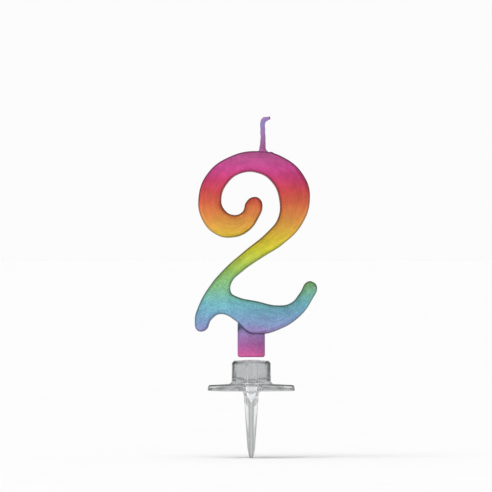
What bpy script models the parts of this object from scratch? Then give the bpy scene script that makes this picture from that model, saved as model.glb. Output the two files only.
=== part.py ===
"""A number birthday candle: a cast wax numeral that plugs into a clear cake pick.

Metres, +Z up, the numeral's front towards -Y. The origin is on the pick's axis, in the flat
underside of its flange: the face that stops on the icing once the spike is in the cake.
The candle stands drawn up, with its tenon just clear of the cup that it plugs into.
"""

import math

import bmesh
import bpy
from mathutils import Vector

# Numeral: heights are above its joint's frame, at the tenon's shoulder, and x is from the tenon's axis.
NUMERAL_DEPTH = 0.0100
EDGE_RADIUS = 0.0009
CROWN_HEIGHT = 0.0573
OUTLINE_STEPS = 5

# Tenon under the numeral, which plugs into the cup.
TENON_WIDTH = 0.0086
TENON_DEPTH = 0.0068
TENON_CORNER = 0.0022
TENON_LENGTH = 0.0074
TENON_ROOT = 0.0036
# The eased end: height above the tenon's end, and how far the side is drawn in.
TENON_EASE = ((0.0, 0.0007), (0.0002, 0.0003), (0.0007, 0.0))

# Cake pick, one clear moulding.
CUP_HEIGHT = 0.0097
CUP_RADIUS = 0.0062
CUP_DRAFT = 0.00005
CUP_SHOULDER = 0.0017
CUP_FLOOR = 0.0019
CUP_CLEARANCE = 0.0006
FLANGE_RADIUS = 0.01375
FLANGE_THICKNESS = 0.0018
FLANGE_RISE = 0.0003
FLANGE_EDGE_RADIUS = 0.0006
FLANGE_EDGE_INSET = 0.0008
FILLET_RADIUS = 0.0011
SINK_RADIUS = 0.0019
SINK_DEPTH = 0.0060
SINK_OVERLAP = 0.0004
SPIKE_LENGTH = 0.0211

# The cup's cavity by height: how far its wall stands clear of the tenon.
CAVITY_LEVELS = (
    (CUP_FLOOR, CUP_CLEARANCE - 0.0004),
    (CUP_FLOOR + 0.0006, CUP_CLEARANCE),
    (CUP_HEIGHT - 0.0005, CUP_CLEARANCE),
    (CUP_HEIGHT, CUP_CLEARANCE + 0.0003),
    (CUP_HEIGHT + 0.0010, CUP_CLEARANCE + 0.0009),
)

# Crush ribs in the cup: their places along its long walls, and their size by height.
RIB_RADIUS = 0.0004
RIB_PROUD = 0.0003
RIB_PLACES = (-0.0013, 0.0013)
RIB_LEVELS = ((CUP_FLOOR - 0.0003, 1.0), (CUP_HEIGHT - 0.0024, 1.0), (CUP_HEIGHT - 0.0012, 0.25))

# The spike: the round root between its blades, as radius and height, and the blades
# by height, as half of their width and half of their thickness.
SPIKE_ROOT = (
    (0.0032, 0.0), (0.0028, -0.0004), (0.0024, -0.0014),
    (0.0021, -0.0030), (0.0016, -0.0044), (0.0, -0.0060),
)
SPIKE_BLADES = (
    (-SPIKE_LENGTH, 0.00035, 0.00025),
    (-SPIKE_LENGTH + 0.0006, 0.0007, 0.00035),
    (-SPIKE_LENGTH + 0.0022, 0.00105, 0.00045),
    (-SPIKE_LENGTH + 0.0034, 0.0012, 0.00048),
    (-0.0030, 0.0022, 0.00065),
    (0.0010, 0.0024, 0.00065),
)

# Play between the drawn-up tenon and the cup's rim.
DRAWN_UP = 0.0009
BASELINE = CUP_HEIGHT + DRAWN_UP + TENON_LENGTH

# Wick: three cotton yarns, laid round each other, in a dip of coloured wax above the crown.
YARNS = 3
YARN_RADIUS = 0.00022
YARN_LAY_RADIUS = 0.00029
YARN_PITCH = 0.0072
YARN_STEP = 0.0009
YARN_END = 0.0004
CHANNEL_RADIUS = 0.00078
DIP_RADIUS = 0.00072
DIP_BORE_RADIUS = 0.00058
DIP_FLARE_RADIUS = 0.0015
DIP_FLARE_HEIGHT = 0.0014
DIP_GAP = 0.0001
ROUTE_STEP = 0.0012

# The figure's outline as knots of one smooth closed curve, anticlockwise from the crown.
CROWN = ((0.0018, CROWN_HEIGHT), (-0.0070, 0.0554), (-0.0136, 0.0504), (-0.0165, 0.0430))
LOBE = ((-0.0154, 0.0358), (-0.0108, 0.0310), (-0.0058, 0.0302), (-0.0010, 0.0321), (0.0022, 0.0362))
TERMINAL = ((0.0035, 0.0401), (0.0025, 0.0424), (0.0004, 0.0428), (-0.0016, 0.0412), (-0.0027, 0.0383))
COUNTER = (
    (-0.0054, 0.0372), (-0.0086, 0.0391), (-0.0094, 0.0425), (-0.0073, 0.0474), (-0.0033, 0.0503),
    (0.0021, 0.0504), (0.0066, 0.0474), (0.0088, 0.0420), (0.0084, 0.0362),
)
DIAGONAL_ABOVE = (
    (0.0050, 0.0318), (-0.0022, 0.0258), (-0.0085, 0.0202), (-0.0133, 0.0145), (-0.0165, 0.0087),
)
FOOT = ((-0.0177, 0.0039), (-0.0168, 0.0009), (-0.0143, 0.0011), (-0.0125, 0.0044))
ARCH = ((-0.0097, 0.0061), (-0.0049, 0.0040), (-0.0006, 0.0001))
BASE_BELOW = ((0.0034, -0.0002), (0.0081, 0.0010), (0.0147, 0.0049), (0.0192, 0.0108))
SWASH_TIP = ((0.0206, 0.0147), (0.0193, 0.0162), (0.0176, 0.0162))
BASE_ABOVE = ((0.0154, 0.0129), (0.0125, 0.0096), (0.0086, 0.0088), (0.0018, 0.0101), (-0.0048, 0.0117))
ELBOW = ((-0.0063, 0.0128), (-0.0062, 0.0159), (-0.0028, 0.0195))
DIAGONAL_BELOW = ((0.0035, 0.0239), (0.0100, 0.0281), (0.0159, 0.0343), (0.0184, 0.0425))
SHOULDER = ((0.0167, 0.0492), (0.0102, 0.0553))
FIGURE = (
    CROWN + LOBE + TERMINAL + COUNTER + DIAGONAL_ABOVE + FOOT + ARCH
    + BASE_BELOW + SWASH_TIP + BASE_ABOVE + ELBOW + DIAGONAL_BELOW + SHOULDER
)

# The wick's route in the numeral's plane, from its hooked tip down the middle of the strokes.
WICK_HOOK = ((0.0057, 0.0677), (0.0044, 0.0674), (0.0036, 0.0659), (0.0036, 0.0630), (0.0037, 0.0590))
WICK_IN_BOWL = ((0.0052, 0.0548), (0.0106, 0.0510), (0.0136, 0.0440), (0.0124, 0.0360), (0.0078, 0.0306))
WICK_IN_DIAGONAL = ((0.0011, 0.0253), (-0.0056, 0.0203), (-0.0096, 0.0152))
WICK_IN_BASE = ((-0.0085, 0.0103), (-0.0036, 0.0070), (-0.0006, 0.0030), (0.0, -0.0020), (0.0, -0.0070))
WICK_ROUTE = WICK_HOOK + WICK_IN_BOWL + WICK_IN_DIAGONAL + WICK_IN_BASE

# Linear base colours.
WAX_COLOUR = (0.58, 0.12, 0.30)
COTTON_COLOUR = (0.80, 0.76, 0.68)
DIP_COLOUR = (0.34, 0.14, 0.36)
CLEAR_COLOUR = (0.90, 0.91, 0.92)


def clear_scene():
    for obj in list(bpy.data.objects):
        bpy.data.objects.remove(obj)


def new_collection(name):
    made = bpy.data.collections.new(name)
    bpy.context.scene.collection.children.link(made)
    return made


def new_material(name, colour, roughness, metallic=0.0, transmission=0.0):
    made = bpy.data.materials.new(name)
    made.use_nodes = True
    shader = made.node_tree.nodes["Principled BSDF"]
    shader.inputs["Base Color"].default_value = (*colour, 1.0)
    shader.inputs["Roughness"].default_value = roughness
    shader.inputs["Metallic"].default_value = metallic
    shader.inputs["Transmission Weight"].default_value = transmission
    made.diffuse_color = (*colour, 1.0)
    return made


def new_empty(name, collection, location=(0.0, 0.0, 0.0), parent=None):
    made = bpy.data.objects.new(name, None)
    made.location = location
    made.parent = parent
    collection.objects.link(made)
    return made


def add_mesh(name, mesh, collection, parent):
    made = bpy.data.objects.new(name, mesh)
    made.parent = parent
    collection.objects.link(made)
    return made


def finish_part(part, material):
    part.data.materials.clear()
    part.data.materials.append(material)
    part.data.shade_smooth()
    part.data.set_sharp_from_angle(angle=math.radians(35))


def make_cutter(cutter):
    cutter.hide_render = True
    cutter.display_type = "WIRE"


def add_boolean(part, other, operation):
    modifier = part.modifiers.new(f"{operation.lower()} {other.name}", "BOOLEAN")
    modifier.operation = operation
    modifier.object = other
    modifier.solver = "EXACT"


def mesh_of_curve(curve, name, collection, parent):
    """A welded mesh object in place of a curve, which can't take part in a Boolean."""
    holder = bpy.data.objects.new(name + "_curve", curve)
    collection.objects.link(holder)
    bpy.context.view_layer.update()
    evaluated = holder.evaluated_get(bpy.context.evaluated_depsgraph_get())
    mesh = bpy.data.meshes.new_from_object(evaluated)
    mesh.name = name
    shape = bmesh.new()
    shape.from_mesh(mesh)
    bmesh.ops.remove_doubles(shape, verts=shape.verts, dist=1e-6)
    bmesh.ops.recalc_face_normals(shape, faces=shape.faces)
    shape.to_mesh(mesh)
    shape.free()
    bpy.data.objects.remove(holder)
    return add_mesh(name, mesh, collection, parent)


def smooth_route(knots, step):
    """Evenly spaced points on a Catmull-Rom curve through (x, z) knots, in the plane y = 0."""
    knots = [Vector((x, 0.0, z)) for x, z in knots]
    knots = [2 * knots[0] - knots[1], *knots, 2 * knots[-1] - knots[-2]]
    fine = []
    for before, start, end, after in zip(knots, knots[1:], knots[2:], knots[3:]):
        for i in range(40):
            t = i / 40
            fine.append(
                0.5 * (2 * start + (end - before) * t
                       + (2 * before - 5 * start + 4 * end - after) * t**2
                       + (3 * start - before - 3 * end + after) * t**3)
            )
    fine.append(knots[-2])
    lengths = [0.0]
    for a, b in zip(fine, fine[1:]):
        lengths.append(lengths[-1] + (b - a).length)
    count = max(2, round(lengths[-1] / step))
    points, i = [], 0
    for k in range(count + 1):
        wanted = lengths[-1] * k / count
        while i < len(fine) - 2 and lengths[i + 1] < wanted:
            i += 1
        share = (wanted - lengths[i]) / (lengths[i + 1] - lengths[i])
        points.append(fine[i].lerp(fine[i + 1], share))
    return points


def tube(name, points, radius, collection, parent, sides_level=1, radii=None):
    """A round bar along points; radii gives each point's share of the radius."""
    curve = bpy.data.curves.new(name, "CURVE")
    curve.dimensions = "3D"
    curve.bevel_depth = radius
    curve.bevel_resolution = sides_level
    curve.use_fill_caps = True
    spline = curve.splines.new("POLY")
    spline.points.add(len(points) - 1)
    for i, point in enumerate(points):
        spline.points[i].co = (*point, 1.0)
        spline.points[i].radius = radii[i] if radii else 1.0
    return mesh_of_curve(curve, name, collection, parent)


def rounded_rectangle(width, depth, corner, grow=0.0, steps=5):
    """Points anticlockwise round a rectangle with round corners, grown outwards by grow."""
    radius = corner + grow
    points = []
    for quarter, (side_x, side_y) in enumerate(((1, 1), (-1, 1), (-1, -1), (1, -1))):
        centre_x = side_x * (width / 2 - corner)
        centre_y = side_y * (depth / 2 - corner)
        for i in range(steps + 1):
            angle = math.radians(90 * (quarter + i / steps))
            points.append((centre_x + radius * math.cos(angle), centre_y + radius * math.sin(angle)))
    return points


def cross_section(half_width, half_thickness):
    """Twelve points anticlockwise round a plus sign."""
    arm = ((half_width, -half_thickness), (half_width, half_thickness), (half_thickness, half_thickness))
    points = []
    for quarter in range(4):
        cosine = math.cos(math.radians(90 * quarter))
        sine = math.sin(math.radians(90 * quarter))
        for x, y in arm:
            points.append((x * cosine - y * sine, x * sine + y * cosine))
    return points


def loft(name, sections, collection, parent):
    """A closed solid through (z, points) sections that rise in z and have equal numbers of points."""
    shape = bmesh.new()
    rings = [[shape.verts.new((x, y, z)) for x, y in points] for z, points in sections]
    for lower, upper in zip(rings, rings[1:]):
        for i in range(len(lower)):
            j = (i + 1) % len(lower)
            shape.faces.new((lower[i], lower[j], upper[j], upper[i]))
    shape.faces.new(reversed(rings[0]))
    shape.faces.new(rings[-1])
    mesh = bpy.data.meshes.new(name)
    shape.to_mesh(mesh)
    shape.free()
    return add_mesh(name, mesh, collection, parent)


def arc(centre_x, centre_z, radius, start, end, steps):
    """Points along an arc in the x-z plane; angles in degrees from +X towards +Z."""
    points = []
    for i in range(steps + 1):
        angle = math.radians(start + (end - start) * i / steps)
        points.append((centre_x + radius * math.cos(angle), centre_z + radius * math.sin(angle)))
    return points


def turned(name, profile, collection, parent, steps):
    """A solid of revolution from a profile at +X that runs from the axis at the top to the axis below."""
    mesh = bpy.data.meshes.new(name)
    edges = [(i, i + 1) for i in range(len(profile) - 1)]
    mesh.from_pydata([(x, 0.0, z) for x, z in profile], edges, [])
    made = add_mesh(name, mesh, collection, parent)
    screw = made.modifiers.new("turn", "SCREW")
    screw.steps = steps
    screw.render_steps = steps
    screw.use_merge_vertices = True
    screw.merge_threshold = 1e-6
    return made


def numeral_blank(collection, parent):
    """The figure, extruded to its depth with round edges, before the tenon and the wick's channel."""
    curve = bpy.data.curves.new("numeral_body", "CURVE")
    curve.dimensions = "2D"
    curve.fill_mode = "BOTH"
    curve.extrude = NUMERAL_DEPTH / 2 - EDGE_RADIUS
    curve.bevel_depth = EDGE_RADIUS
    curve.bevel_resolution = 1
    curve.offset = -EDGE_RADIUS
    curve.resolution_u = OUTLINE_STEPS
    spline = curve.splines.new("BEZIER")
    spline.bezier_points.add(len(FIGURE) - 1)
    for point, (x, z) in zip(spline.bezier_points, FIGURE):
        point.co = (x, z, 0.0)
        point.handle_left_type = "AUTO"
        point.handle_right_type = "AUTO"
    spline.use_cyclic_u = True
    blank = mesh_of_curve(curve, "numeral_body", collection, parent)
    blank.rotation_euler = (math.radians(90), 0.0, 0.0)
    return blank


def tenon_sections(levels):
    """The tenon's section at each (z, grow), where grow moves its side outwards."""
    return [
        (z, rounded_rectangle(TENON_WIDTH, TENON_DEPTH, TENON_CORNER, grow)) for z, grow in levels
    ]


def tenon_blank(collection, parent):
    levels = [(-TENON_LENGTH + rise, -inset) for rise, inset in TENON_EASE]
    levels.append((TENON_ROOT, 0.0))
    return loft("tenon_blank", tenon_sections(levels), collection, parent)


def make_numeral(parts, cutters, parent, material):
    """The casting: figure and tenon in one, with a channel for the wick from crown to tenon."""
    numeral = numeral_blank(parts, parent)
    tenon = tenon_blank(cutters, parent)
    reach = Vector((0.0, 0.0, -0.002))
    route = smooth_route(WICK_ROUTE, ROUTE_STEP)
    channel = tube("wick_channel", [*route, route[-1] + reach], CHANNEL_RADIUS, cutters, parent)
    for cutter in (tenon, channel):
        make_cutter(cutter)
    add_boolean(numeral, tenon, "UNION")
    add_boolean(numeral, channel, "DIFFERENCE")
    finish_part(numeral, material)


def make_yarns(parts, parent, material):
    """The wick: cotton yarns laid round the route like a rope, each a bar of its own."""
    route = smooth_route(WICK_ROUTE, YARN_STEP)
    for yarn in range(YARNS):
        points = []
        for i, point in enumerate(route):
            ahead = route[min(i + 1, len(route) - 1)]
            behind = route[max(i - 1, 0)]
            along = (ahead - behind).normalized()
            sideways = along.cross(Vector((0.0, 1.0, 0.0)))
            angle = math.tau * (i * YARN_STEP / YARN_PITCH + yarn / YARNS)
            offset = Vector((0.0, math.cos(angle), 0.0)) + sideways * math.sin(angle)
            points.append(point + offset * YARN_LAY_RADIUS)
        finish_part(tube(f"wick_yarn_{yarn + 1}", points, YARN_RADIUS, parts, parent), material)


def make_dip(parts, cutters, parent, material):
    """The wax dip round the wick above the crown, open at both ends, flared where it meets the crown."""
    foot_height = CROWN_HEIGHT + DIP_GAP
    route = [p for p in smooth_route(WICK_ROUTE, ROUTE_STEP / 3) if p.z > foot_height + ROUTE_STEP / 10]
    foot = Vector((route[-1].x, 0.0, foot_height))
    route.append(foot)
    tip = route[0] + (route[1] - route[0]).normalized() * YARN_END
    shown = [tip] + [p for p in route[1:] if (p - route[0]).length > 2 * YARN_END]
    radii = []
    for point in shown:
        rise = max(0.0, 1.0 - (point.z - foot.z) / DIP_FLARE_HEIGHT)
        radii.append(1.0 + (DIP_FLARE_RADIUS / DIP_RADIUS - 1.0) * rise**2)
    dip = tube("wick_dip", shown, DIP_RADIUS, parts, parent, sides_level=2, radii=radii)
    past_tip = route[0] + (route[0] - route[1]).normalized() * DIP_RADIUS
    past_foot = foot - Vector((0.0, 0.0, DIP_RADIUS))
    bore = tube("dip_bore", [past_tip, *shown, past_foot], DIP_BORE_RADIUS, cutters, parent)
    make_cutter(bore)
    add_boolean(dip, bore, "DIFFERENCE")
    finish_part(dip, material)


def pick_profile():
    """Half the pick's turned outline, from the axis over the rim and flange to the spike's root."""
    rim_radius = CUP_RADIUS - CUP_DRAFT
    shoulder = arc(rim_radius - CUP_SHOULDER, CUP_HEIGHT - CUP_SHOULDER, CUP_SHOULDER, 90, 0, 5)
    flange_top = FLANGE_THICKNESS + FLANGE_RISE
    fillet = arc(CUP_RADIUS + FILLET_RADIUS, flange_top + FILLET_RADIUS, FILLET_RADIUS, 180, 270, 4)
    edge_x = FLANGE_RADIUS - FLANGE_EDGE_INSET
    edge = arc(edge_x, FLANGE_THICKNESS - FLANGE_EDGE_RADIUS, FLANGE_EDGE_RADIUS, 90, 20, 3)
    return [(0.0, CUP_HEIGHT), *shoulder, *fillet, *edge, (FLANGE_RADIUS, 0.0), *SPIKE_ROOT]


def spike_blades(collection, parent):
    """Two crossed blades that taper to a blunt point."""
    sections = [(z, cross_section(width, thickness)) for z, width, thickness in SPIKE_BLADES]
    return loft("spike_blades", sections, collection, parent)


def cup_cavity(collection, parent):
    """The socket's space: the tenon's own shape with clearance and a lead-in at the mouth."""
    return loft("cup_cavity", tenon_sections(CAVITY_LEVELS), collection, parent)


def root_sink(collection, parent):
    """The conical hollow that keeps the root's wall even."""
    bpy.ops.mesh.primitive_cone_add(
        vertices=24, radius1=0.0001, radius2=SINK_RADIUS, depth=SINK_DEPTH,
        location=(0.0, 0.0, CUP_FLOOR + SINK_OVERLAP - SINK_DEPTH / 2),
    )
    sink = bpy.context.object
    for user in list(sink.users_collection):
        user.objects.unlink(sink)
    collection.objects.link(sink)
    sink.name = "root_sink"
    sink.parent = parent
    return sink


def crush_ribs(collection, parent):
    """Upright ribs inside the cup, two on each long wall and one on each short wall."""
    half_width = TENON_WIDTH / 2 + CUP_CLEARANCE
    half_depth = TENON_DEPTH / 2 + CUP_CLEARANCE
    inset = RIB_RADIUS - RIB_PROUD
    places = []
    for side in (-1, 1):
        places.append((side * (half_width + inset), 0.0))
        for x in RIB_PLACES:
            places.append((x, side * (half_depth + inset)))
    circle = arc(0.0, 0.0, RIB_RADIUS, 0, 330, 11)
    ribs = []
    for i, (x, y) in enumerate(places):
        sections = [(z, [(x + a * share, y + b * share) for a, b in circle]) for z, share in RIB_LEVELS]
        ribs.append(loft(f"crush_rib_{i + 1}", sections, collection, parent))
    return ribs


def make_pick(parts, cutters, parent, material):
    """Cup, flange and spike in one clear moulding."""
    pick = turned("cake_pick", pick_profile(), parts, parent, steps=48)
    blades = spike_blades(cutters, parent)
    cavity = cup_cavity(cutters, parent)
    sink = root_sink(cutters, parent)
    ribs = crush_ribs(cutters, parent)
    for cutter in (blades, cavity, sink, *ribs):
        make_cutter(cutter)
    add_boolean(pick, blades, "UNION")
    add_boolean(pick, cavity, "DIFFERENCE")
    add_boolean(pick, sink, "DIFFERENCE")
    for rib in ribs:
        add_boolean(pick, rib, "UNION")
    finish_part(pick, material)


def main():
    clear_scene()
    parts = new_collection("number_birthday_candle")
    cutters = new_collection("cutters")
    pick_axis = new_empty("pick_axis", parts)
    candle_slide = new_empty("candle_slide", parts, (0.0, 0.0, BASELINE), pick_axis)

    wax = new_material("lacquered_wax", WAX_COLOUR, 0.35, metallic=0.4)
    cotton = new_material("cotton_yarn", COTTON_COLOUR, 0.90)
    dip = new_material("wick_dip_wax", DIP_COLOUR, 0.45, metallic=0.2)
    clear = new_material("clear_polystyrene", CLEAR_COLOUR, 0.05, transmission=1.0)

    make_numeral(parts, cutters, candle_slide, wax)
    make_yarns(parts, candle_slide, cotton)
    make_dip(parts, cutters, candle_slide, dip)
    make_pick(parts, cutters, pick_axis, clear)


main()
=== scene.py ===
"""The looks of the number birthday candle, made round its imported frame.

Metres, +Z up, the numeral's front towards -Y, as in the frame. Three visible pieces replace their
CAD nodes: the lacquered numeral, the wax dip on its wick, and the clear cake pick. The wick's cotton
yarns are the CAD nodes themselves, with a better material, and their frayed ends are added.
"""

import math

import bmesh
import bpy
import numpy as np
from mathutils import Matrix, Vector, geometry, noise


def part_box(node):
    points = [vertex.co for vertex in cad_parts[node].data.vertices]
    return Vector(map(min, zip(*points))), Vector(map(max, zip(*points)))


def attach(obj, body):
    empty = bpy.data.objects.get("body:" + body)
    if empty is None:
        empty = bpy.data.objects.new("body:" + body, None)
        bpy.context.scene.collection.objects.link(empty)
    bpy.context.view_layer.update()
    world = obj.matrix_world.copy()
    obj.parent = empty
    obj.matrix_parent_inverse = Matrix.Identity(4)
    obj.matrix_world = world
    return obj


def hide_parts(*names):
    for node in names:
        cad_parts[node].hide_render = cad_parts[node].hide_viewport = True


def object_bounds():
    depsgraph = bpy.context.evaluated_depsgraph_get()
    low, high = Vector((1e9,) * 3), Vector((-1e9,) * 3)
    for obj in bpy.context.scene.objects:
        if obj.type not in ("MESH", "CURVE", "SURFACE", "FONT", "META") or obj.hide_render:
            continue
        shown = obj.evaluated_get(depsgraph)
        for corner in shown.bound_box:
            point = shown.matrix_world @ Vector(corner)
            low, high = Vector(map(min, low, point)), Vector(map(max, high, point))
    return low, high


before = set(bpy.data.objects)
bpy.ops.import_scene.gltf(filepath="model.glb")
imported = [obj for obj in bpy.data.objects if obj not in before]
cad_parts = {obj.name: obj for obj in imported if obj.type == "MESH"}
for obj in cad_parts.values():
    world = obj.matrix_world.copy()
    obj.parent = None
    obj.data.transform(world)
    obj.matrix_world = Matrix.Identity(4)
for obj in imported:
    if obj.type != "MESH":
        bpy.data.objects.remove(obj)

CAD_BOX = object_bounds()

# Places and sizes read from the frame.
NUMERAL_LOW, NUMERAL_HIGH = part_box("numeral_body")
PICK_LOW, PICK_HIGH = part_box("cake_pick")
CROWN_Z = NUMERAL_HIGH.z
HALF_DEPTH = NUMERAL_HIGH.y
TENON_END = NUMERAL_LOW.z

# Numeral: the CAD's own sizes, then the finer shape of the casting's edge and face.
CAD_EDGE_RADIUS = 0.0009
CROWN_HEIGHT = 0.0573
FOOT_LINE = CROWN_Z - CROWN_HEIGHT
OUTLINE_STEP = 0.00026
FACE_STEP = 0.00042
SEAM_PROUD = 0.00005
SEAM_HALF_WIDTH = 0.00014
DRAFT = 0.00010
WALL_STEPS = 5
# The stepped chamfer's corners from the wall to the face: inset, depth below the face, and rounding.
CHAMFER = (
    (DRAFT, 0.00170, 0.00030),
    (0.00036, 0.00066, 0.00020),
    (0.00068, 0.00030, 0.00010),
    (0.00086, 0.00023, 0.00007),
    (0.00108, 0.00000, 0.00008),
)
FACE_DOME = 0.00022
DOME_WIDTH = 0.0016
FACE_WAVE = 0.00006
WAVE_SCALE = 260
WAVE_FADE = 0.0008
# The drip of wax on the crown.
RIDGE_X = 0.0064
RIDGE_PROUD = 0.00022
RIDGE_WIDTH = 0.00045
RIDGE_REACH = 0.004

# Tenon under the numeral.
TENON_WIDTH = 0.0086
TENON_DEPTH = 0.0068
TENON_CORNER = 0.0022
TENON_ROOT = 0.0036
TENON_EASE = 0.0007
TENON_SHARES = (0.3, 0.6, 1.0)

# Wick: the route's shown end in the plane y = 0, from the hooked tip down, as x and the height
# above the foot line.
WICK_SHOWN = (
    (0.0057, 0.0677), (0.0048, 0.0674), (0.0040, 0.0671), (0.0036, 0.0662), (0.0036, 0.0640),
    (0.0037, 0.0612), (0.0036, 0.0590), (0.0037, 0.0574), (0.0044, 0.0550),
)
CHANNEL_RADIUS = 0.00078
CHANNEL_STEP = 0.0006
CHANNEL_ABOVE = 0.002
CHANNEL_SIDES = 20
YARNS = 3
YARN_PITCH = 0.0072
WICK_STEP = 0.00012
WICK_SIDES = 36
YARN_RELIEF = 0.045
LUMP_RELIEF = 0.06
WICK_EMBEDDED = 0.0013
# The dip's radius by distance from its tip, down to the crown.
DIP_RADII = (
    (0.0, 0.00042), (0.0005, 0.00055), (0.0010, 0.00070), (0.0017, 0.00082), (0.0024, 0.00080),
    (0.0032, 0.00076), (0.0065, 0.00077), (0.0084, 0.00082), (0.0102, 0.00094),
)
FLARE = 0.00065
FLARE_HEIGHT = 0.00042
CROWN_BAND = 0.006
SLOPE_REACH = 0.0008
LANDING_HEIGHT = 0.0012
# Frayed yarn ends: their number, how wide they spread, their root in the dip, length and thickness.
FIBRES = 12
FIBRE_TURN = 2.4
FIBRE_SPREAD = 0.00030
FIBRE_ROOT = 0.0006
FIBRE_LENGTH = 0.00028
FIBRE_UNEVEN = 0.0002
FIBRE_THICK = 0.00009
FIBRE_THIN = 0.00004
FIBRE_POINTS = 6

# Colours of the lacquer, linear, by share of the numeral's height from the tenon's end to the crown.
RAINBOW = (
    (0.000, (0.74, 0.14, 0.40)),
    (0.022, (0.60, 0.13, 0.38)),
    (0.060, (0.44, 0.14, 0.39)),
    (0.110, (0.37, 0.22, 0.50)),
    (0.165, (0.25, 0.36, 0.60)),
    (0.220, (0.20, 0.44, 0.60)),
    (0.265, (0.21, 0.55, 0.61)),
    (0.305, (0.24, 0.58, 0.47)),
    (0.350, (0.27, 0.58, 0.28)),
    (0.410, (0.32, 0.56, 0.14)),
    (0.470, (0.50, 0.62, 0.09)),
    (0.520, (0.68, 0.67, 0.05)),
    (0.580, (0.76, 0.55, 0.05)),
    (0.640, (0.78, 0.39, 0.07)),
    (0.695, (0.76, 0.25, 0.07)),
    (0.750, (0.71, 0.14, 0.07)),
    (0.805, (0.68, 0.08, 0.09)),
    (0.860, (0.64, 0.06, 0.18)),
    (0.915, (0.66, 0.08, 0.31)),
    (1.000, (0.55, 0.13, 0.34)),
)
# Colours of the wick's dip, by share of its height above the crown.
DIP_COLOURS = (
    (0.00, (0.46, 0.12, 0.32)),
    (0.25, (0.38, 0.15, 0.36)),
    (0.60, (0.38, 0.21, 0.49)),
    (0.82, (0.31, 0.25, 0.54)),
    (1.00, (0.40, 0.22, 0.50)),
)
COTTON = (0.74, 0.70, 0.61)
COTTON_STAINED = (0.15, 0.07, 0.17)

# Cake pick: the CAD's own sizes.
CUP_HEIGHT = PICK_HIGH.z
CUP_RADIUS = 0.0062
CUP_DRAFT = 0.00005
CUP_SHOULDER = 0.0017
CUP_FLOOR = 0.0019
CUP_CLEARANCE = 0.0006
CAVITY_CORNER = 0.0006
# The cavity's mouth: height from the rim, and how far the wall opens out.
CUP_MOUTH = ((-0.0006, 0.0), (-0.0003, 0.0001), (0.0, 0.0004), (0.0010, 0.0016))
FLANGE_RADIUS = PICK_HIGH.x
FLANGE_THICKNESS = 0.0018
FLANGE_RISE = 0.0003
FLANGE_EDGE = 0.0006
FLANGE_INSET = 0.0008
FLANGE_BREAK = 0.0002
FILLET_RADIUS = 0.0011
RIB_RADIUS = 0.0004
RIB_PROUD = 0.0003
RIB_PLACES = (-0.0013, 0.0013)
# A rib's size by height.
RIB_LEVELS = (
    (CUP_FLOOR - 0.0003, 1.0), (CUP_HEIGHT - 0.0024, 1.0),
    (CUP_HEIGHT - 0.0017, 0.8), (CUP_HEIGHT - 0.0012, 0.25),
)
SPIKE_TIP = PICK_LOW.z
# The spike: the round root between its blades, as radius and height, and the blades
# by height, as half of their width and half of their thickness.
SPIKE_ROOT = (
    (0.0033, 0.0), (0.0028, -0.0003), (0.0024, -0.0014),
    (0.0021, -0.0030), (0.0016, -0.0044), (0.0, -0.0060),
)
SPIKE_BLADES = (
    (SPIKE_TIP, 0.00035, 0.00025),
    (SPIKE_TIP + 0.0003, 0.00058, 0.00032),
    (SPIKE_TIP + 0.0008, 0.00076, 0.00036),
    (SPIKE_TIP + 0.0022, 0.00105, 0.00045),
    (SPIKE_TIP + 0.0034, 0.0012, 0.00048),
    (-0.0100, 0.00175, 0.00057),
    (-0.0030, 0.0022, 0.00065),
    (0.0010, 0.0024, 0.00065),
)
SINK_RADIUS = 0.0019
SINK_DEPTH = 0.0060
SINK_OVERLAP = 0.0004
SINK_TIP = 0.0001
TURN_STEPS = 144

# Camera: level, at about the height of the numeral's middle.
CAMERA_X = -0.00165
CAMERA_Z = 0.0455
CAMERA_DISTANCE = 3.0
VIEW_WIDTH = 0.1546
SENSOR = 36.0

# Stage: the floor, the backdrop that the camera sees, and the key light.
FLOOR_SIZE = 80.0
BACKGROUND = 0.97
KEY_STRENGTH = 1.86
KEY_SPREAD = 50.0
KEY_DIRECTION = (0.25, 0.35, -1.0)
# Lamps that only reflections see: their directions, the cosine at their edge, and their strength.
LAMPS = ((-0.44, -0.36, 0.82), (0.44, -0.36, 0.82))
LAMP_EDGE = 0.982
LAMP_STRENGTH = 6.0
# How closely the upright bands stand that are seen through clear plastic.
SEEN_BANDS = 16.0


def smooth_loop(points, step):
    """Evenly spaced points on the closed Catmull-Rom curve through points."""
    before, after = np.roll(points, 1, axis=0), np.roll(points, -1, axis=0)
    beyond = np.roll(points, -2, axis=0)
    fine = []
    for t in np.arange(0, 1, 0.125):
        fine.append(
            0.5 * (2 * points + (after - before) * t
                   + (2 * before - 5 * points + 4 * after - beyond) * t**2
                   + (3 * points - before - 3 * after + beyond) * t**3)
        )
    fine = np.stack(fine, axis=1).reshape(-1, points.shape[1])
    return spaced(np.vstack([fine, fine[:1]]), step)[:-1]


def smooth_route(knots, step):
    """Evenly spaced points on the open Catmull-Rom curve through knots."""
    knots = np.array(knots)
    knots = np.vstack([2 * knots[0] - knots[1], knots, 2 * knots[-1] - knots[-2]])
    fine = []
    for before, start, end, after in zip(knots, knots[1:], knots[2:], knots[3:]):
        for t in np.arange(0, 1, 0.025):
            fine.append(
                0.5 * (2 * start + (end - before) * t
                       + (2 * before - 5 * start + 4 * end - after) * t**2
                       + (3 * start - before - 3 * end + after) * t**3)
            )
    fine.append(knots[-2])
    return spaced(np.array(fine), step)


def spaced(points, step):
    """Points at even distances along a run of close points, both ends included."""
    lengths = np.concatenate([[0.0], np.cumsum(np.linalg.norm(np.diff(points, axis=0), axis=1))])
    count = max(2, round(lengths[-1] / step))
    wanted = np.linspace(0.0, lengths[-1], count + 1)
    return np.stack([np.interp(wanted, lengths, points[:, k]) for k in range(points.shape[1])], axis=1)


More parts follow.
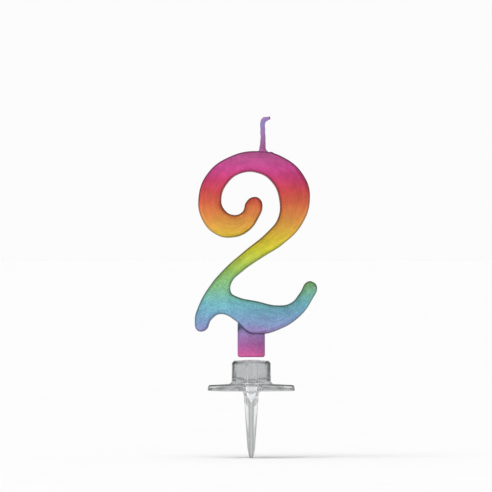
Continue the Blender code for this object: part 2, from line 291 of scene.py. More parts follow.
def outline_of(node, level):
    """A CAD node's closed run of edges in the plane y = level, as (x, z), anticlockwise from the front."""
    near = {}
    mesh = node.data
    for face in mesh.polygons:
        corners = [mesh.vertices[i].co for i in face.vertices]
        flat = [(round(c.x, 6), round(c.z, 6)) for c in corners if abs(c.y - level) < 1e-5]
        if len(flat) == 2 and flat[0] != flat[1]:
            near.setdefault(flat[0], set()).add(flat[1])
            near.setdefault(flat[1], set()).add(flat[0])
    start = max(near)
    loop, last, here = [start], None, start
    while True:
        following = [p for p in near[here] if p != last]
        last, here = here, max(following) if last is None else following[0]
        if here == start:
            break
        loop.append(here)
    loop = np.array(loop)
    x, z = loop[:, 0], loop[:, 1]
    area = np.sum(x * np.roll(z, -1) - np.roll(x, -1) * z)
    return loop if area > 0 else loop[::-1]


def outward(loop):
    """Unit vectors that point out of an anticlockwise loop, one for each of its points."""
    along = np.roll(loop, -1, axis=0) - np.roll(loop, 1, axis=0)
    along /= np.linalg.norm(along, axis=1)[:, None]
    return np.stack([along[:, 1], -along[:, 0]], axis=1)


def inset_of(points, loop):
    """How far each point lies inside a closed loop; outside it's negative."""
    nearest = np.full(len(points), np.inf)
    inside = np.zeros(len(points), bool)
    x, z = points[:, 0], points[:, 1]
    for a, b in zip(loop, np.roll(loop, -1, axis=0)):
        along = b - a
        share = np.clip(((points - a) @ along) / (along @ along), 0, 1)
        gap = np.linalg.norm(points - a - share[:, None] * along, axis=1)
        nearest = np.minimum(nearest, gap)
        if a[1] != b[1]:
            crosses = (a[1] > z) != (b[1] > z)
            inside ^= crosses & (x < a[0] + (z - a[1]) / (b[1] - a[1]) * along[0])
    return np.where(inside, nearest, -nearest)


def new_object(name, vertices, faces):
    mesh = bpy.data.meshes.new(name)
    mesh.from_pydata([tuple(v) for v in vertices], [], [tuple(f) for f in faces])
    mesh.update()
    made = bpy.data.objects.new(name, mesh)
    bpy.context.scene.collection.objects.link(made)
    return made


def loft(name, sections):
    """A closed solid through rings of equal numbers of points, each anticlockwise seen from the end."""
    count = len(sections[0])
    vertices = [p for ring in sections for p in ring]
    faces = []
    for level in range(len(sections) - 1):
        low, high = level * count, (level + 1) * count
        for i in range(count):
            j = (i + 1) % count
            faces.append((low + i, low + j, high + j, high + i))
    faces.append(range(count - 1, -1, -1))
    faces.append(range(len(vertices) - count, len(vertices)))
    return new_object(name, vertices, faces)


def turned(name, profile, steps):
    """A closed solid of revolution from a profile (x, z) whose two ends lie on the axis, top end first."""
    vertices = [(0.0, 0.0, profile[0][1])]
    for x, z in profile[1:-1]:
        for k in range(steps):
            angle = math.tau * k / steps
            vertices.append((x * math.cos(angle), x * math.sin(angle), z))
    vertices.append((0.0, 0.0, profile[-1][1]))
    last = len(vertices) - 1
    faces = []
    for k in range(steps):
        following = (k + 1) % steps
        faces.append((0, 1 + k, 1 + following))
        for ring in range(len(profile) - 3):
            upper, lower = 1 + ring * steps, 1 + (ring + 1) * steps
            faces.append((upper + k, lower + k, lower + following, upper + following))
        faces.append((last - steps + k, last, last - steps + following))
    return new_object(name, vertices, faces)


def combine(part, others):
    """Applies Booleans to part; others holds pairs of an operation and a solid, which is removed."""
    for operation, other in others:
        modifier = part.modifiers.new(operation, "BOOLEAN")
        modifier.operation = operation
        modifier.solver = "EXACT"
        modifier.object = other
    bpy.context.view_layer.update()
    evaluated = part.evaluated_get(bpy.context.evaluated_depsgraph_get())
    mesh = bpy.data.meshes.new_from_object(evaluated)
    part.modifiers.clear()
    part.data = mesh
    for _, other in others:
        bpy.data.objects.remove(other)
    return part


def finish_surface(part, material, angle):
    part.data.materials.clear()
    part.data.materials.append(material)
    part.data.shade_smooth()
    part.data.set_sharp_from_angle(angle=math.radians(angle))


def arc(centre_x, centre_z, radius, start, end, steps):
    """Points along an arc in the x-z plane; angles in degrees from +X towards +Z."""
    points = []
    for i in range(steps + 1):
        angle = math.radians(start + (end - start) * i / steps)
        points.append((centre_x + radius * math.cos(angle), centre_z + radius * math.sin(angle)))
    return points


def rounded_rectangle(width, depth, corner, z, grow=0.0, steps=10):
    """Points anticlockwise round a rectangle with round corners, at height z, grown outwards by grow."""
    points = []
    for quarter, (side_x, side_y) in enumerate(((1, 1), (-1, 1), (-1, -1), (1, -1))):
        centre_x = side_x * (width / 2 - corner)
        centre_y = side_y * (depth / 2 - corner)
        for x, y in arc(centre_x, centre_y, corner + grow, 90 * quarter, 90 * (quarter + 1), steps):
            points.append((x, y, z))
    return points


def tube(name, centres, radii, sides, landing=None):
    """A closed bar along centres in space, with a radius at each; radii may give one value for each side.
    landing holds a direction and each ring's share of facing that way instead of square to the bar."""
    centres = np.array(centres)
    along = np.gradient(centres, axis=0)
    along /= np.linalg.norm(along, axis=1)[:, None]
    if landing is not None:
        direction, shares = landing
        along += (direction - along) * shares[:, None]
        along /= np.linalg.norm(along, axis=1)[:, None]
    across = np.cross(along, (0.0, 1.0, 0.0))
    across /= np.linalg.norm(across, axis=1)[:, None]
    up = np.cross(across, along)
    angles = np.arange(sides) * math.tau / sides
    sections = []
    for centre, a, u, radius in zip(centres, across, up, radii):
        directions = np.outer(np.cos(angles), a) + np.outer(np.sin(angles), u)
        sections.append(centre + directions * np.reshape(radius, (-1, 1)))
    return loft(name, sections)


def numeral_outline():
    """The figure's outline from the frame, as even points on a smooth curve."""
    level = -(HALF_DEPTH - CAD_EDGE_RADIUS)
    return smooth_loop(outline_of(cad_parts["numeral_body"], level), OUTLINE_STEP)


def drip_ridge(outline):
    """How far a small drip of wax stands out of each point of the outline, on the crown."""
    on_crown = outline[:, 1] > CROWN_Z - RIDGE_REACH
    away = (outline[:, 0] - RIDGE_X) / RIDGE_WIDTH
    return np.where(on_crown, RIDGE_PROUD * np.exp(-(away**2)), 0.0)


def rounded_corner(before, corner, after, reach, steps=3):
    """Points on a curve that rounds a corner, leaving it by reach on either side."""
    start = corner + (before - corner) / np.linalg.norm(before - corner) * reach
    end = corner + (after - corner) / np.linalg.norm(after - corner) * reach
    shares = np.linspace(0, 1, steps + 1)[:, None]
    curve = start * (1 - shares) ** 2 + corner * 2 * shares * (1 - shares) + end * shares**2
    return [tuple(p) for p in curve]


def edge_profile():
    """Insets and depths from the seam at the middle to the front face, for one half of the casting."""
    face_edge = HALF_DEPTH - FACE_DOME
    profile = [(-SEAM_PROUD, 0.0), (-SEAM_PROUD / 3, SEAM_HALF_WIDTH / 2), (0.0, SEAM_HALF_WIDTH)]
    wall_top = face_edge - CHAMFER[0][1]
    for i in range(1, WALL_STEPS):
        share = i / WALL_STEPS
        profile.append((DRAFT * share, SEAM_HALF_WIDTH + (wall_top - SEAM_HALF_WIDTH) * share))
    corners = [np.array(profile[-1])]
    corners += [np.array((inset, face_edge - below)) for inset, below, _ in CHAMFER]
    corners.append(corners[-1] + (0.001, 0.0))
    for i, (_, _, rounding) in enumerate(CHAMFER, 1):
        profile += rounded_corner(corners[i - 1], corners[i], corners[i + 1], rounding)
    return profile


def face_height(points, insets):
    """How far the face stands from the middle plane at (x, z) points a given way in from the outline."""
    from_edge = insets - CHAMFER[-1][0] - CHAMFER[-1][2]
    rise = FACE_DOME * (1 - np.exp(-from_edge / DOME_WIDTH))
    wave = [noise.noise(Vector((x * WAVE_SCALE, 0.0, z * WAVE_SCALE))) for x, z in points]
    blend = np.clip(from_edge / WAVE_FADE, 0, 1)
    return HALF_DEPTH - FACE_DOME + rise + FACE_WAVE * blend * np.array(wave)


def figure_blank(outline):
    """The figure as a closed solid: rings round its edge, and a filled face on either side."""
    half = edge_profile()
    profile = [(inset, -depth) for inset, depth in reversed(half)] + half[1:]
    away = outward(outline)
    ridge = drip_ridge(outline)
    deepest = max(inset for inset, _ in profile)
    moves = [ridge * (1 - inset / deepest) ** 2 - inset for inset, _ in profile]
    rings = [outline + away * move[:, None] for move in moves]
    vertices = [(x, depth, z) for ring, (_, depth) in zip(rings, profile) for x, z in ring]
    count = len(outline)
    faces = []
    for level in range(len(rings) - 1):
        front, back = level * count, (level + 1) * count
        for i in range(count):
            j = (i + 1) % count
            faces.append((front + i, front + j, back + j, back + i))

    border = rings[0]
    low, high = border.min(0), border.max(0)
    grid = []
    row_step = FACE_STEP * math.sqrt(3) / 2
    for row in range(int((high[1] - low[1]) / row_step) + 1):
        offset = FACE_STEP / 2 * (row % 2)
        for column in range(int((high[0] - low[0]) / FACE_STEP) + 1):
            grid.append((low[0] + offset + column * FACE_STEP, low[1] + row * row_step))
    grid = np.array(grid)
    grid = grid[inset_of(grid, border) > FACE_STEP * 0.7]
    flat = [Vector(p) for p in np.vstack([border, grid])]
    edges = [(i, (i + 1) % count) for i in range(count)]
    _, _, triangles, origin, _, _ = geometry.delaunay_2d_cdt(flat, edges, [], 1, 1e-9)
    index = [names[0] for names in origin]
    heights = face_height(grid, inset_of(grid, outline))
    first_back = (len(rings) - 1) * count
    for side, ring_start in ((-1, 0), (1, first_back)):
        start = len(vertices)
        vertices += [(x, side * height, z) for (x, z), height in zip(grid, heights)]
        number = [ring_start + i if i < count else start + i - count for i in index]
        for triangle in triangles:
            corners = [number[i] for i in triangle]
            faces.append(corners if side < 0 else corners[::-1])
    return new_object("numeral_surface", vertices, faces)


def tenon_blank():
    sections = []
    for x, z in arc(0.0, TENON_END + TENON_EASE, TENON_EASE, -90, 0, 6):
        sections.append(rounded_rectangle(TENON_WIDTH, TENON_DEPTH, TENON_CORNER, z, x - TENON_EASE))
    for share in TENON_SHARES:
        z = TENON_END + TENON_EASE + (FOOT_LINE + TENON_ROOT - TENON_END - TENON_EASE) * share
        sections.append(rounded_rectangle(TENON_WIDTH, TENON_DEPTH, TENON_CORNER, z))
    return loft("tenon_blank", sections)


def wick_centres(step):
    """Points in space down the wick's shown end, from the tip into the crown."""
    route = smooth_route(WICK_SHOWN, step)
    return np.stack([route[:, 0], np.zeros(len(route)), route[:, 1] + FOOT_LINE], axis=1)


def streak_coordinate(part, outline):
    """Stores how far each vertex lies across the brushed streaks, which follow the strokes' edges."""
    places = np.array([v.co for v in part.data.vertices])
    insets = inset_of(places[:, [0, 2]], outline)
    across = insets - np.maximum(HALF_DEPTH - FACE_DOME - np.abs(places[:, 1]), 0.0)
    on_tenon = places[:, 2] < FOOT_LINE + 0.0002
    across = np.where(on_tenon & (insets < 0), TENON_WIDTH / 2 - np.abs(places[:, 0]), across)
    attribute = part.data.attributes.new("across", "FLOAT", "POINT")
    attribute.data.foreach_set("value", across.astype(np.float32))


def make_numeral(material, outline):
    """The cast wax numeral: figure, tenon, and the wick's channel in the crown."""
    numeral = figure_blank(outline)
    centres = wick_centres(CHANNEL_STEP)
    into_crown = centres[centres[:, 2] < CROWN_Z + CHANNEL_ABOVE]
    channel = tube("channel", into_crown, [CHANNEL_RADIUS] * len(into_crown), CHANNEL_SIDES)
    combine(numeral, [("UNION", tenon_blank()), ("DIFFERENCE", channel)])
    streak_coordinate(numeral, outline)
    finish_surface(numeral, material, 42)
    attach(numeral, "candle")
    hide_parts("numeral_body")
    return numeral


def crown_at(outline, x):
    """The crown's height at x, and the direction into it there."""
    top = outline[outline[:, 1] > CROWN_Z - CROWN_BAND]
    top = top[np.argsort(top[:, 0])]
    left, here, right = np.interp((x - SLOPE_REACH, x, x + SLOPE_REACH), top[:, 0], top[:, 1])
    into = np.array(((right - left) / (2 * SLOPE_REACH), 0.0, -1.0))
    return here, into / np.linalg.norm(into)


def make_dip(material, outline):
    """The wax dip on the wick, flared onto the crown, with the yarns' lay showing through it."""
    centres = wick_centres(WICK_STEP)
    foot = centres[np.argmin(np.abs(centres[:, 2] - CROWN_Z))]
    crown, into_crown = crown_at(outline, foot[0])
    centres = centres[centres[:, 2] > crown - WICK_EMBEDDED]
    run = np.arange(len(centres)) * WICK_STEP
    above = np.clip(centres[:, 2] - crown, 0.0, None)
    sizes = np.interp(run, [d for d, _ in DIP_RADII], [r for _, r in DIP_RADII])
    sizes += FLARE * np.exp(-above / FLARE_HEIGHT)
    landing = np.clip(1.5 - above / LANDING_HEIGHT, 0, 1)
    angles = np.arange(WICK_SIDES) * math.tau / WICK_SIDES
    radii = []
    for distance, size in zip(run, sizes):
        lay = np.cos(YARNS * (angles - math.tau * distance / YARN_PITCH))
        places = [Vector((math.cos(a) * 0.8, math.sin(a) * 0.8, distance * 900)) for a in angles]
        lumps = np.array([noise.noise(place) for place in places])
        radii.append(size * (1 + YARN_RELIEF * lay + LUMP_RELIEF * lumps))
    dip = tube("wick_dip_surface", centres, radii, WICK_SIDES, (into_crown, landing))
    finish_surface(dip, material, 50)
    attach(dip, "candle")
    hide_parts("wick_dip")
    return dip


def make_fibres(material):
    """Frayed yarn ends that stand out of the dip's tip."""
    centres = wick_centres(WICK_STEP)
    tip = centres[0]
    out = centres[0] - centres[6]
    out /= np.linalg.norm(out)
    side = np.cross(out, (0.0, 1.0, 0.0))
    strands = []
    for i in range(FIBRES):
        angle = i * FIBRE_TURN
        reach = FIBRE_SPREAD * math.sqrt((i + 0.5) / FIBRES)
        place = side * math.cos(angle) * reach + np.array((0.0, 1.0, 0.0)) * math.sin(angle) * reach
        length = FIBRE_LENGTH + FIBRE_UNEVEN * noise.noise(Vector((i * 1.7, 0.3, 0.0)))
        steps = np.linspace(0, 1, FIBRE_POINTS)[:, None]
        root = tip - out * FIBRE_ROOT + place
        line = root + out * steps * (FIBRE_ROOT + length) + place * 0.9 * steps**2
        strands.append(tube("strand", line, np.linspace(FIBRE_THICK, FIBRE_THIN, FIBRE_POINTS), 6))
    fibres = combine(strands[0], [("UNION", s) for s in strands[1:]])
    fibres.name = "wick_fibre_ends"
    fibres.data.name = "wick_fibre_ends"
    finish_surface(fibres, material, 50)
    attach(fibres, "candle")
    return fibres


def pick_profile():
    """Half the pick's turned outline, from the axis over the rim and flange to the spike's root."""
    rim = CUP_RADIUS - CUP_DRAFT
    flange_top = FLANGE_THICKNESS + FLANGE_RISE
    shoulder = arc(rim - CUP_SHOULDER, CUP_HEIGHT - CUP_SHOULDER, CUP_SHOULDER, 90, 0, 14)
    fillet = arc(CUP_RADIUS + FILLET_RADIUS, flange_top + FILLET_RADIUS, FILLET_RADIUS, 180, 270, 10)
    edge = arc(FLANGE_RADIUS - FLANGE_INSET, FLANGE_THICKNESS - FLANGE_EDGE, FLANGE_EDGE, 90, 20, 8)
    lower_edge = arc(FLANGE_RADIUS - FLANGE_BREAK, FLANGE_BREAK, FLANGE_BREAK, 0, -90, 4)
    root = [tuple(p) for p in smooth_route(SPIKE_ROOT, 0.0003)]
    return [(0.0, CUP_HEIGHT), *shoulder, *fillet, *edge, *lower_edge, *root]


def blade_section(half_width, half_thickness, z):
    """Points anticlockwise round a plus sign with rounded tips and hollows."""
    tip = min(0.00018, half_thickness * 0.5)
    hollow = min(0.0003, (half_width - half_thickness) * 0.4)
    quarter = arc(half_width - tip, half_thickness - tip, tip, 0, 90, 5)
    quarter += arc(half_thickness + hollow, half_thickness + hollow, hollow, 270, 180, 6)
    quarter += arc(half_thickness - tip, half_width - tip, tip, 0, 90, 5)
    points = []
    for turn in range(4):
        c, s = math.cos(math.radians(90 * turn)), math.sin(math.radians(90 * turn))
        for x, y in quarter:
            points.append((x * c - y * s, x * s + y * c, z))
    return points


def spike_blades():
    """Two crossed blades that taper to a blunt point."""
    return loft("spike_blades", [blade_section(width, thick, z) for z, width, thick in SPIKE_BLADES])


def cup_cavity():
    """The socket's space: the tenon's own shape with clearance and a lead-in at the mouth."""
    levels = []
    for angle in np.linspace(0.2, math.pi / 2, 6):
        rise, growth = 1 - math.cos(angle), math.sin(angle) - 1
        levels.append((CUP_FLOOR + CAVITY_CORNER * rise, CUP_CLEARANCE + CAVITY_CORNER * growth))
    levels += [(CUP_HEIGHT + rise, CUP_CLEARANCE + growth) for rise, growth in CUP_MOUTH]
    return loft(
        "cup_cavity",
        [rounded_rectangle(TENON_WIDTH, TENON_DEPTH, TENON_CORNER, z, grow) for z, grow in levels],
    )


def root_sink():
    """The conical hollow that keeps the root's wall even."""
    top = CUP_FLOOR + SINK_OVERLAP
    low = top - SINK_DEPTH
    profile = [(0.0, top), (SINK_RADIUS, top), (SINK_TIP, low), (0.0, low - SINK_TIP / 2)]
    return turned("root_sink", profile, 48)


def crush_ribs():
    """Upright ribs inside the cup, two on each long wall and one on each short wall."""
    half_width = TENON_WIDTH / 2 + CUP_CLEARANCE
    half_depth = TENON_DEPTH / 2 + CUP_CLEARANCE
    inset = RIB_RADIUS - RIB_PROUD
    places = []
    for side in (-1, 1):
        places.append((side * (half_width + inset), 0.0))
        for x in RIB_PLACES:
            places.append((x, side * (half_depth + inset)))
    ribs = []
    for x, y in places:
        sections = []
        for z, share in RIB_LEVELS:
            circle = arc(0.0, 0.0, RIB_RADIUS * share, 0, 345, 23)
            sections.append([(x + a, y + b, z) for a, b in circle])
        ribs.append(loft("rib", sections))
    return ribs


def make_pick(material):
    """The clear cake pick: cup, flange and spike in one moulding."""
    pick = turned("cake_pick_clear", pick_profile(), TURN_STEPS)
    steps = [("UNION", spike_blades()), ("DIFFERENCE", cup_cavity()), ("DIFFERENCE", root_sink())]
    steps += [("UNION", rib) for rib in crush_ribs()]
    combine(pick, steps)
    finish_surface(pick, material, 38)
    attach(pick, "pick")
    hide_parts("cake_pick")
    return pick


def new_material(name):
    material = bpy.data.materials.new(name)
    material.use_nodes = True
    tree = material.node_tree
    return material, tree, tree.nodes["Principled BSDF"]


def add(tree, kind, inputs=(), **settings):
    """A node of one kind; inputs holds pairs of a socket's name or number and a value or a socket."""
    node = tree.nodes.new(kind)
    for name, value in settings.items():
        setattr(node, name, value)
    for socket, value in inputs:
        if isinstance(value, bpy.types.NodeSocket):
            tree.links.new(value, node.inputs[socket])
        else:
            node.inputs[socket].default_value = value
    return node


def maths(tree, operation, a, b=0.0):
    return add(tree, "ShaderNodeMath", ((0, a), (1, b)), operation=operation).outputs[0]


def mapped(tree, value, from_low, from_high, to_low, to_high, smooth=False):
    kind = "SMOOTHSTEP" if smooth else "LINEAR"
    values = ((0, value), (1, from_low), (2, from_high), (3, to_low), (4, to_high))
    return add(tree, "ShaderNodeMapRange", values, interpolation_type=kind).outputs[0]


def scaled(tree, vector, scale):
    node = add(tree, "ShaderNodeVectorMath", ((0, vector), (1, scale)), operation="MULTIPLY")
    return node.outputs[0]


def grain(tree, vector, scale, detail=2.0, roughness=0.5):
    inputs = (("Vector", vector), ("Scale", scale), ("Detail", detail), ("Roughness", roughness))
    return add(tree, "ShaderNodeTexNoise", inputs).outputs[0]


def ramp(tree, value, stops):
    node = add(tree, "ShaderNodeValToRGB", ((0, value),))
    elements = node.color_ramp.elements
    while len(elements) < len(stops):
        elements.new(0.5)
    for element, (position, _) in zip(elements, stops):
        element.position = position
    for element, (_, colour) in zip(elements, stops):
        element.color = (*colour, 1.0)
    return node.outputs[0]


def adjusted(tree, colour, saturation, value):
    inputs = (("Saturation", saturation), ("Value", value), ("Color", colour))
    return add(tree, "ShaderNodeHueSaturation", inputs).outputs[0]


def bumped(tree, shader, height, distance):
    bump = add(tree, "ShaderNodeBump", (("Height", height), ("Distance", distance)))
    tree.links.new(bump.outputs[0], shader.inputs["Normal"])


def lacquered_wax():
    """Rainbow metallic lacquer brushed along the strokes over cast wax, with painted shade at the front
    edges and on the right, and painted glints on its flakes.
    """
    material, tree, shader = new_material("lacquered_wax")
    place = add(tree, "ShaderNodeTexCoord").outputs["Object"]
    x, _, z = add(tree, "ShaderNodeSeparateXYZ", ((0, place),)).outputs
    across = add(tree, "ShaderNodeAttribute", attribute_name="across").outputs["Fac"]

    brushed = add(tree, "ShaderNodeCombineXYZ", (
        (0, maths(tree, "MULTIPLY", x, 0.10)), (1, across), (2, maths(tree, "MULTIPLY", z, 0.10)),
    )).outputs[0]
    streaks = grain(tree, brushed, 1500.0, 3.0, 0.6)
    fine_streaks = grain(tree, brushed, 5200.0, 2.0)
    patches = grain(tree, place, 420.0, 3.0, 0.55)
    clouds = grain(tree, place, 130.0, 2.0)
    flakes = grain(tree, place, 3000.0, 1.0)

    shift = maths(tree, "MULTIPLY", maths(tree, "SUBTRACT", patches, 0.5), 0.0020)
    drift = maths(tree, "MULTIPLY", maths(tree, "SUBTRACT", clouds, 0.5), 0.0022)
    height = maths(tree, "ADD", z, maths(tree, "ADD", shift, drift))
    share = mapped(tree, height, TENON_END, CROWN_Z, 0.0, 1.0)
    rainbow = ramp(tree, share, RAINBOW)

    speckled = mapped(tree, z, 0.0330, 0.0390, 1.0, 0.25, smooth=True)
    light = mapped(tree, streaks, 0.25, 0.75, 0.86, 1.14)
    light = maths(tree, "MULTIPLY", light, mapped(tree, patches, 0.25, 0.75, 0.89, 1.11))
    # The flakes vary the tone at random; their brightest flecks are painted glints.
    flake_tone_and_glint = mapped(tree, flakes, 0.3, 0.7, -0.20, 0.20)
    flake_tone_and_glint = maths(tree, "ADD", flake_tone_and_glint, mapped(tree, flakes, 0.68, 0.76, 0.0, 0.35))
    light = maths(tree, "ADD", light, maths(tree, "MULTIPLY", flake_tone_and_glint, speckled))
    # Painted shade: the lacquer darkens along the front edge and the outer part of the wall, and is lifted
    # again further back on the wall.
    rim = mapped(tree, across, -0.0010, 0.0000, 0.42, 1.0, smooth=True)
    wall = mapped(tree, across, -0.0026, -0.0012, 2.1, 1.0, smooth=True)
    light = maths(tree, "MULTIPLY", light, maths(tree, "MULTIPLY", rim, wall))
    # Painted shade: lighter towards the left, darker towards the right.
    light = maths(tree, "MULTIPLY", light, mapped(tree, x, -0.016, 0.018, 1.05, 0.93))
    # Painted shade: the tenon darker towards its right side, and the swash's right end lower down darker.
    on_tenon = mapped(tree, z, FOOT_LINE - 0.0015, FOOT_LINE + 0.0005, 1.0, 0.0)
    below = mapped(tree, z, 0.036, 0.042, 1.0, 0.0)
    on_swash = maths(tree, "MULTIPLY", mapped(tree, x, 0.010, 0.016, 0.0, 1.0), below)
    painted_side_shade = maths(tree, "MULTIPLY", on_tenon, mapped(tree, x, -0.004, 0.004, -0.02, 0.17))
    painted_side_shade = maths(tree, "ADD", painted_side_shade, maths(tree, "MULTIPLY", on_swash, 0.10))
    light = maths(tree, "MULTIPLY", light, maths(tree, "SUBTRACT", 1.0, painted_side_shade))
    tree.links.new(adjusted(tree, rainbow, 1.0, light), shader.inputs["Base Color"])

    shader.inputs["Metallic"].default_value = 0.62
    tree.links.new(mapped(tree, fine_streaks, 0.2, 0.8, 0.24, 0.42), shader.inputs["Roughness"])
    shader.inputs["Specular Tint"].default_value = (0.35, 0.35, 0.35, 1.0)
    relief = maths(tree, "ADD", maths(tree, "MULTIPLY", fine_streaks, 0.5), streaks)
    flake_relief = maths(tree, "MULTIPLY", maths(tree, "MULTIPLY", flakes, speckled), 0.6)
    relief = maths(tree, "ADD", relief, flake_relief)
    bumped(tree, shader, relief, 0.00004)
    return material


def wick_dip_wax():
    """Tinted wax over the wick, pink at the crown and violet at the tip."""
    material, tree, shader = new_material("wick_dip_wax")
    place = add(tree, "ShaderNodeTexCoord").outputs["Object"]
    z = add(tree, "ShaderNodeSeparateXYZ", ((0, place),)).outputs[2]
    mottle = grain(tree, place, 1400.0, 3.0, 0.6)
    shift = maths(tree, "MULTIPLY", maths(tree, "SUBTRACT", mottle, 0.5), 0.0016)
    height = maths(tree, "ADD", z, shift)
    share = mapped(tree, height, CROWN_Z, CROWN_Z + 0.0105, 0.0, 1.0)
    light = mapped(tree, mottle, 0.2, 0.8, 0.84, 1.14)
    colour = adjusted(tree, ramp(tree, share, DIP_COLOURS), 1.0, light)
    tree.links.new(colour, shader.inputs["Base Color"])
    shader.inputs["Metallic"].default_value = 0.25
    tree.links.new(mapped(tree, mottle, 0.3, 0.7, 0.34, 0.52), shader.inputs["Roughness"])
    fibres = grain(tree, scaled(tree, place, (1.0, 1.0, 0.12)), 9000.0, 2.0)
    bumped(tree, shader, fibres, 0.00005)
    return material


def cotton_yarn():
    """Undyed cotton, stained by the dip above the crown."""
    material, tree, shader = new_material("cotton_yarn")
    place = add(tree, "ShaderNodeTexCoord").outputs["Object"]
    z = add(tree, "ShaderNodeSeparateXYZ", ((0, place),)).outputs[2]
    fibres = grain(tree, scaled(tree, place, (1.0, 1.0, 0.2)), 14000.0, 3.0)
    stain = mapped(tree, z, CROWN_Z, CROWN_Z + 0.001, 0.0, 1.0)
    colour = ramp(tree, stain, ((0.0, COTTON), (1.0, COTTON_STAINED)))
    colour = adjusted(tree, colour, 1.0, mapped(tree, fibres, 0.2, 0.8, 0.75, 1.15))
    tree.links.new(colour, shader.inputs["Base Color"])
    shader.inputs["Roughness"].default_value = 0.85
    shader.inputs["Sheen Weight"].default_value = 0.2
    bumped(tree, shader, fibres, 0.00004)
    return material


def clear_polystyrene():
    """Clear moulded polystyrene with faint flow marks, darker in the cup by painted shade."""
    material, tree, shader = new_material("clear_polystyrene")
    place = add(tree, "ShaderNodeTexCoord").outputs["Object"]
    flow = grain(tree, scaled(tree, place, (1.0, 1.0, 0.08)), 650.0, 2.0, 0.5)
    haze = grain(tree, place, 350.0, 2.0)
    z = add(tree, "ShaderNodeSeparateXYZ", ((0, place),)).outputs[2]
    tint_and_cup_shade = ramp(tree, haze, ((0.3, (0.86, 0.88, 0.89)), (0.7, (0.92, 0.93, 0.935))))
    # Painted shade: the colour darkens from the flange up into the cup.
    tint_and_cup_shade = adjusted(tree, tint_and_cup_shade, 1.0, mapped(tree, z, -0.0010, 0.0030, 1.0, 0.77, smooth=True))
    tree.links.new(tint_and_cup_shade, shader.inputs["Base Color"])
    tree.links.new(mapped(tree, haze, 0.3, 0.7, 0.02, 0.07), shader.inputs["Roughness"])
    shader.inputs["Transmission Weight"].default_value = 1.0
    shader.inputs["IOR"].default_value = 1.59
    on_cup = mapped(tree, z, 0.0021, 0.0034, 0.12, 1.0, smooth=True)
    bumped(tree, shader, maths(tree, "MULTIPLY", flow, on_cup), 0.00025)
    return material


def make_floor():
    shape = bmesh.new()
    bmesh.ops.create_grid(shape, x_segments=8, y_segments=8, size=FLOOR_SIZE / 2)
    mesh = bpy.data.meshes.new("floor")
    shape.to_mesh(mesh)
    shape.free()
    floor = bpy.data.objects.new("floor", mesh)
    floor.location = (0.0, 0.0, CAD_BOX[0].z)
    bpy.context.scene.collection.objects.link(floor)
    material, tree, shader = new_material("pale_floor")
    place = add(tree, "ShaderNodeTexCoord").outputs["Object"]
    tone = mapped(tree, grain(tree, place, 40.0, 2.0), 0.0, 1.0, 0.90, 0.93)
    tree.links.new(tone, shader.inputs["Base Color"])
    shader.inputs["Roughness"].default_value = 0.9
    mesh.materials.append(material)


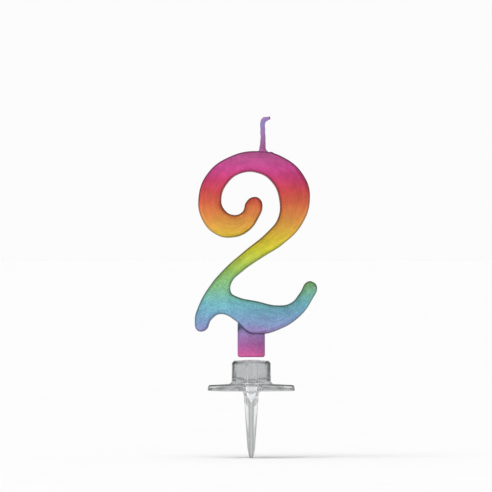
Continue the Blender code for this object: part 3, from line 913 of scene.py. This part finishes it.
def make_world():
    """A soft studio, dimmer overhead. The camera sees a pale backdrop, reflections see two lamps and a
    darker back, and clear plastic sees upright bands, which streak its walls."""
    world = bpy.data.worlds.new("studio")
    bpy.context.scene.world = world
    world.use_nodes = True
    tree = world.node_tree
    tree.nodes.clear()
    way = add(tree, "ShaderNodeTexCoord").outputs["Generated"]
    x, y, z = add(tree, "ShaderNodeSeparateXYZ", ((0, way),)).outputs
    path = add(tree, "ShaderNodeLightPath").outputs
    overhead = mapped(tree, z, 0.05, 0.9, 0.84, 0.70, smooth=True)
    side = mapped(tree, x, -1.0, 1.0, 1.06, 0.94)
    plain = maths(tree, "MULTIPLY", overhead, side)
    bands = maths(tree, "COSINE", maths(tree, "MULTIPLY", x, SEEN_BANDS))
    banded = mapped(tree, bands, -1.0, 1.0, 0.58, 1.0)
    see_through = maths(tree, "MULTIPLY", mapped(tree, y, 0.80, 0.93, 1.0, 0.86, smooth=True), banded)
    mirrored = mapped(tree, y, 0.55, 0.92, 1.0, 0.42, smooth=True)
    mirrored = maths(tree, "MULTIPLY", mirrored, mapped(tree, z, 0.0, 0.7, 1.0, 0.55, smooth=True))
    for lamp in LAMPS:
        towards = add(tree, "ShaderNodeVectorMath", ((0, way), (1, lamp)), operation="DOT_PRODUCT")
        glow = mapped(tree, towards.outputs["Value"], LAMP_EDGE, 1.0, 0.0, LAMP_STRENGTH, smooth=True)
        mirrored = maths(tree, "ADD", mirrored, glow)
    by_path = plain
    for kind, level in (("Is Glossy Ray", mirrored), ("Is Transmission Ray", see_through)):
        changed = maths(tree, "MULTIPLY", plain, level)
        inputs = (("Factor", path[kind]), (2, by_path), (3, changed))
        by_path = add(tree, "ShaderNodeMix", inputs).outputs[0]
    surroundings = add(tree, "ShaderNodeBackground", (("Strength", by_path),))
    backdrop = add(tree, "ShaderNodeBackground", (("Color", (BACKGROUND,) * 3 + (1.0,)),))
    shown = ((0, path["Is Camera Ray"]), (1, surroundings.outputs[0]), (2, backdrop.outputs[0]))
    mix = add(tree, "ShaderNodeMixShader", shown)
    output = add(tree, "ShaderNodeOutputWorld")
    tree.links.new(mix.outputs[0], output.inputs["Surface"])


def make_key():
    """A broad, even light from above, which shows in no reflection."""
    light = bpy.data.lights.new("key", "SUN")
    light.energy = KEY_STRENGTH
    light.angle = math.radians(KEY_SPREAD)
    key = bpy.data.objects.new("key", light)
    key.rotation_euler = Vector(KEY_DIRECTION).to_track_quat("-Z", "Y").to_euler()
    key.visible_glossy = False
    bpy.context.scene.collection.objects.link(key)


def make_camera():
    data = bpy.data.cameras.new("camera")
    data.sensor_width = SENSOR
    data.lens = SENSOR * CAMERA_DISTANCE / VIEW_WIDTH
    camera = bpy.data.objects.new("camera", data)
    camera.location = (CAMERA_X, -CAMERA_DISTANCE, CAMERA_Z)
    camera.rotation_euler = (math.radians(90), 0.0, 0.0)
    bpy.context.scene.collection.objects.link(camera)
    bpy.context.scene.camera = camera


outline = numeral_outline()
make_numeral(lacquered_wax(), outline)
cotton = cotton_yarn()
make_dip(wick_dip_wax(), outline)
make_fibres(cotton)
for yarn in range(1, YARNS + 1):
    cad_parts[f"wick_yarn_{yarn}"].data.materials.clear()
    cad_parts[f"wick_yarn_{yarn}"].data.materials.append(cotton)
make_pick(clear_polystyrene())

make_floor()
make_world()
make_key()
make_camera()
bpy.context.scene.view_settings.view_transform = "Standard"
